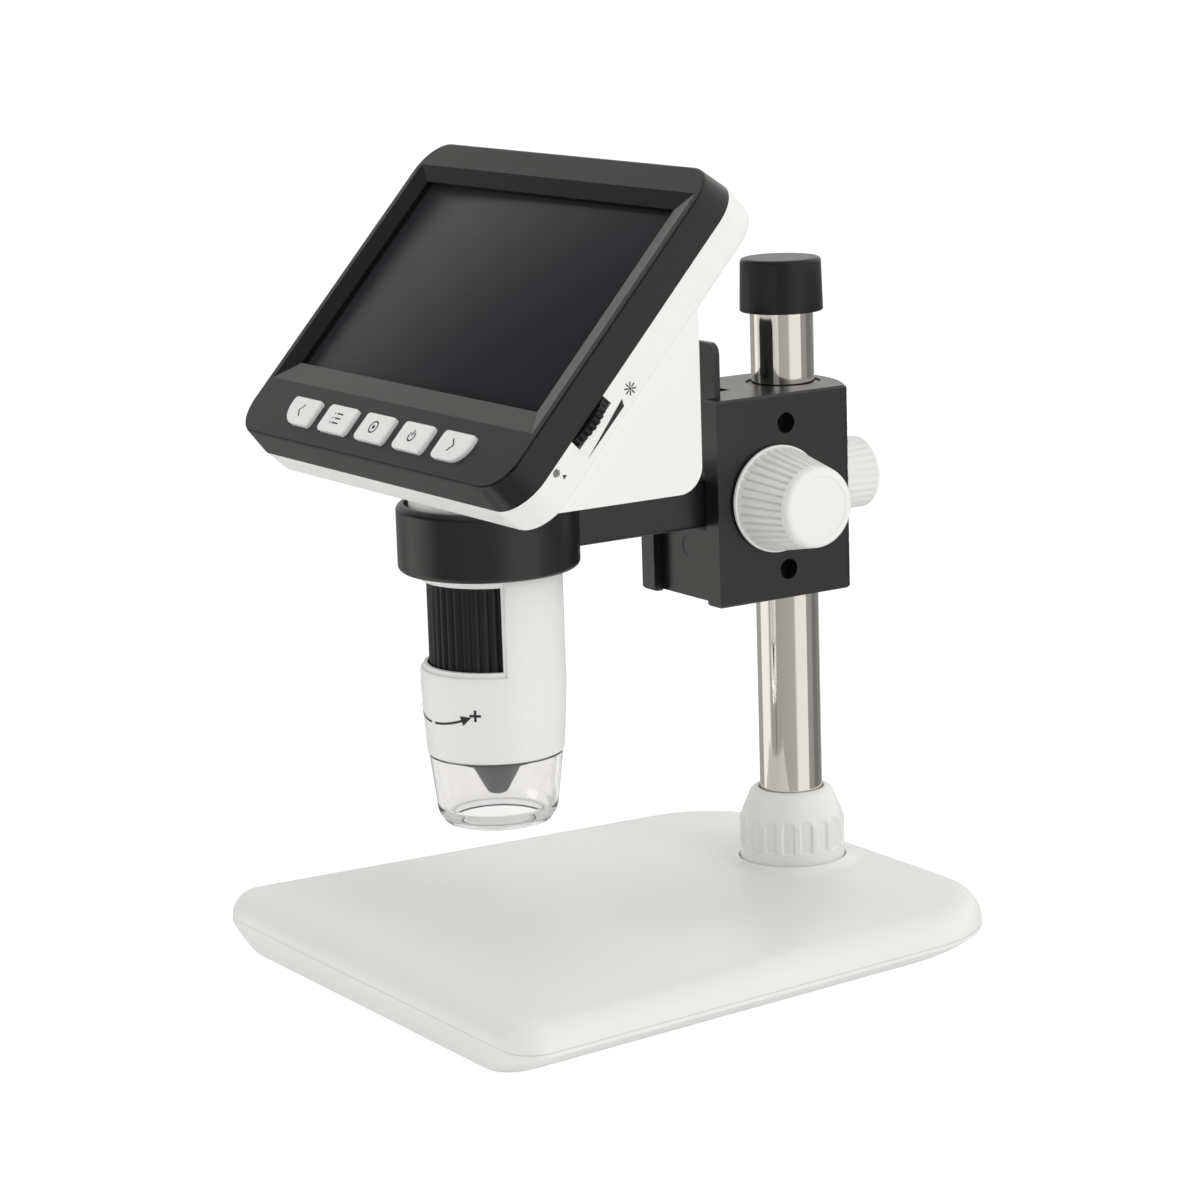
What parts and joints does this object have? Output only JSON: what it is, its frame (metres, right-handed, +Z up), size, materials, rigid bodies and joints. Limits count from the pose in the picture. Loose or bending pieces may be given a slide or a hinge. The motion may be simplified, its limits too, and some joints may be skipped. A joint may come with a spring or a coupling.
{
  "type": "digital microscope",
  "caption": "Bench digital microscope with a tilted display head over an optical barrel, held in a ring bracket that a rack and pinion moves on a column and base.",
  "frame": {"origin": "centre of the base footprint on the surface that the feet stand on", "axes": "+Z up along the column, -Y towards the user whom the screen faces, +X to the right of the screen"},
  "size_m": [0.1274, 0.1354, 0.177],
  "materials": {
    "white_plastic": "satin white moulding",
    "black_plastic": "satin black moulding",
    "key_white": "satin white with printed symbols",
    "black_rubber": "matt black, knurled",
    "rubber": "matt black rubber",
    "polished_column": "polished tube",
    "screw_steel": "bright steel",
    "black_steel": "blackened steel",
    "black_metal": "satin black coated aluminium",
    "nylon": "natural nylon",
    "brass": "plain turned brass",
    "screen_glass": "clear window over the display",
    "lcd": "dark grey unlit display",
    "circuit_board": "green board",
    "cell_wrap": "shrink-wrapped cell",
    "dark_grey_plastic": "matt grey",
    "lens_glass": "clear lens",
    "led": "white light-emitting diodes",
    "clear_plastic": "clear moulding"
  },
  "bodies": {
    "stand": {"base_top_shell": "white_plastic", "base_bottom_shell": "white_plastic", "rubber_feet": "rubber", "base_screws": "screw_steel", "column_tube": "polished_column", "column_cap": "black_plastic"},
    "collar": {"collar_nut": "white_plastic"},
    "bush": {"column_bush": "nylon"},
    "block": {"rack_block": "black_metal", "side_screws": "black_steel", "pinion_bushes": "brass", "lock_insert": "brass"},
    "lock": {"lock_knob": "white_plastic", "lock_screw": "screw_steel"},
    "pinion": {"pinion_shaft": "screw_steel", "focus_knob_right": "white_plastic", "focus_knob_left": "white_plastic"},
    "bracket": {"bracket": "black_metal", "focus_rack": "nylon", "rack_screws": "black_steel"},
    "liner": {"ring_liner": "black_plastic"},
    "head": {"bezel": "black_plastic", "rear_shell": "white_plastic", "head_screws": "screw_steel", "screen_glass": "screen_glass", "lcd_panel": "lcd", "main_board": "circuit_board", "key_board": "circuit_board", "key_switches": "black_plastic", "usb_port": "screw_steel", "card_socket": "screw_steel", "brightness_pot": "black_plastic", "reset_switch": "black_plastic", "battery_cell": "cell_wrap", "battery_contacts": "brass", "battery_cover": "white_plastic", "cover_screw": "screw_steel", "barrel_housing": "white_plastic", "lens_guide": "black_plastic", "sensor_board": "circuit_board", "led_board": "circuit_board", "leds": "led"},
    "focus_ring": {"focus_ring": "black_rubber"},
    "lens_carrier": {"lens_carrier": "dark_grey_plastic", "objective_lens": "lens_glass"},
    "brightness_wheel": {"brightness_wheel": "black_rubber"},
    "reset_button": {"reset_button": "nylon"},
    "contact_cap": {"contact_cap": "clear_plastic"},
    "previous_key": {"previous_key": "key_white"},
    "menu_key": {"menu_key": "key_white"},
    "confirm_key": {"confirm_key": "key_white"},
    "power_key": {"power_key": "key_white"},
    "next_key": {"next_key": "key_white"}
  },
  "joints": [
    {"name": "height_slide", "type": "slide", "parent": "stand", "child": "bush", "axis": [0, 0, 1], "range_m": [-0.022, 0.0155]},
    {"name": "block_swivel", "type": "hinge", "parent": "bush", "child": "block", "pos_m": [0, 0.0448, 0.101], "axis": [0, 0, 1], "continuous": true},
    {"name": "collar_turn", "type": "hinge", "parent": "stand", "child": "collar", "pos_m": [0, 0.0448, 0.02], "axis": [0, 0, 1], "range_deg": [0, 120]},
    {"name": "lock_turn", "type": "hinge", "parent": "block", "child": "lock", "pos_m": [0, 0.0635, 0.101], "axis": [0, 1, 0], "range_deg": [0, 270]},
    {"name": "focus_knob_turn", "type": "hinge", "parent": "block", "child": "pinion", "pos_m": [0, 0.0314, 0.101], "axis": [1, 0, 0], "range_deg": [-131, 245.6]},
    {"name": "bracket_slide", "type": "slide", "parent": "block", "child": "bracket", "axis": [0, 0, 1], "range_m": [-0.015, 0.008]},
    {"name": "head_swivel", "type": "hinge", "parent": "bracket", "child": "liner", "pos_m": [0, -0.03245, 0.1], "axis": [0, 0, 1], "range_deg": [-35, 35]},
    {"name": "head_lift", "type": "slide", "parent": "liner", "child": "head", "axis": [0, 0, 1], "range_m": [0, 0.07]},
    {"name": "focus_ring_turn", "type": "hinge", "parent": "head", "child": "focus_ring", "pos_m": [0, -0.03245, 0.081], "axis": [0, 0, 1], "range_deg": [-160, 160]},
    {"name": "lens_slide", "type": "slide", "parent": "head", "child": "lens_carrier", "axis": [0, 0, 1], "range_m": [-0.002, 0.002]},
    {"name": "previous_press", "type": "slide", "parent": "head", "child": "previous_key", "axis": [0, 0.7385, -0.6743], "range_m": [0, 0.0005], "stiffness_N_per_m": 500},
    {"name": "menu_press", "type": "slide", "parent": "head", "child": "menu_key", "axis": [0, 0.7385, -0.6743], "range_m": [0, 0.0005], "stiffness_N_per_m": 500},
    {"name": "confirm_press", "type": "slide", "parent": "head", "child": "confirm_key", "axis": [0, 0.7385, -0.6743], "range_m": [0, 0.0005], "stiffness_N_per_m": 500},
    {"name": "power_press", "type": "slide", "parent": "head", "child": "power_key", "axis": [0, 0.7385, -0.6743], "range_m": [0, 0.0005], "stiffness_N_per_m": 500},
    {"name": "next_press", "type": "slide", "parent": "head", "child": "next_key", "axis": [0, 0.7385, -0.6743], "range_m": [0, 0.0005], "stiffness_N_per_m": 500},
    {"name": "reset_press", "type": "slide", "parent": "head", "child": "reset_button", "axis": [-1, 0, 0], "range_m": [0, 0.0004], "stiffness_N_per_m": 500},
    {"name": "brightness_turn", "type": "hinge", "parent": "head", "child": "brightness_wheel", "pos_m": [0.0484, -0.0418, 0.13047], "axis": [0, -0.7385, 0.6743], "range_deg": [-140, 140]},
    {"name": "contact_cap_pull", "type": "slide", "parent": "head", "child": "contact_cap", "axis": [0, 0, -1], "range_m": [0, 0.012]}
  ],
  "couplings": [
    {"joint": "focus_knob_turn", "follows": "bracket_slide", "rad_per_m": -285.71},
    {"joint": "lens_slide", "follows": "focus_ring_turn", "m_per_rad": 0.0007}
  ]
}
